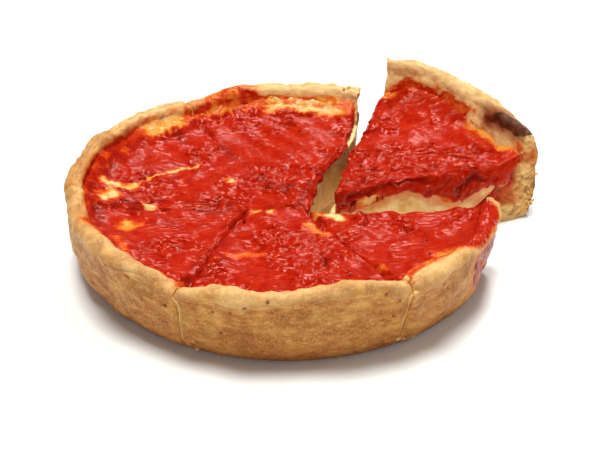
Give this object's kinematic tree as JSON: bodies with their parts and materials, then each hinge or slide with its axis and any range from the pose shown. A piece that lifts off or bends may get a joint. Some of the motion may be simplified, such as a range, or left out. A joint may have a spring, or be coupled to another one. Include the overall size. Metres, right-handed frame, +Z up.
{
  "type": "deep dish pizza",
  "caption": "Round deep dish pizza with a tall pale crust and tomato sauce on top, cut into slices, with one slice drawn part-way out.",
  "frame": {"origin": "middle of the whole arrangement's footprint, on the table it rests on", "axes": "+Z up; the loose slice is drawn out towards +X and +Y, and -Y is the side of the crust that faces the viewer"},
  "size_m": [0.2753, 0.2752, 0.0648],
  "materials": {
    "crust": "dry baked dough, pale golden tan with darker flecks",
    "cheese": "melted mozzarella, cream with a soft oily sheen",
    "sauce": "wet crushed tomato sauce, glossy red"
  },
  "bodies": {
    "root": {"slice_1_crust": "crust", "slice_1_cheese": "cheese", "slice_1_sauce": "sauce", "slice_2_crust": "crust", "slice_2_cheese": "cheese", "slice_2_sauce": "sauce", "slice_3_crust": "crust", "slice_3_cheese": "cheese", "slice_3_sauce": "sauce", "slice_4_crust": "crust", "slice_4_cheese": "cheese", "slice_4_sauce": "sauce", "slice_5_crust": "crust", "slice_5_cheese": "cheese", "slice_5_sauce": "sauce", "slice_6_crust": "crust", "slice_6_cheese": "cheese", "slice_6_sauce": "sauce"}
  },
  "joints": []
}
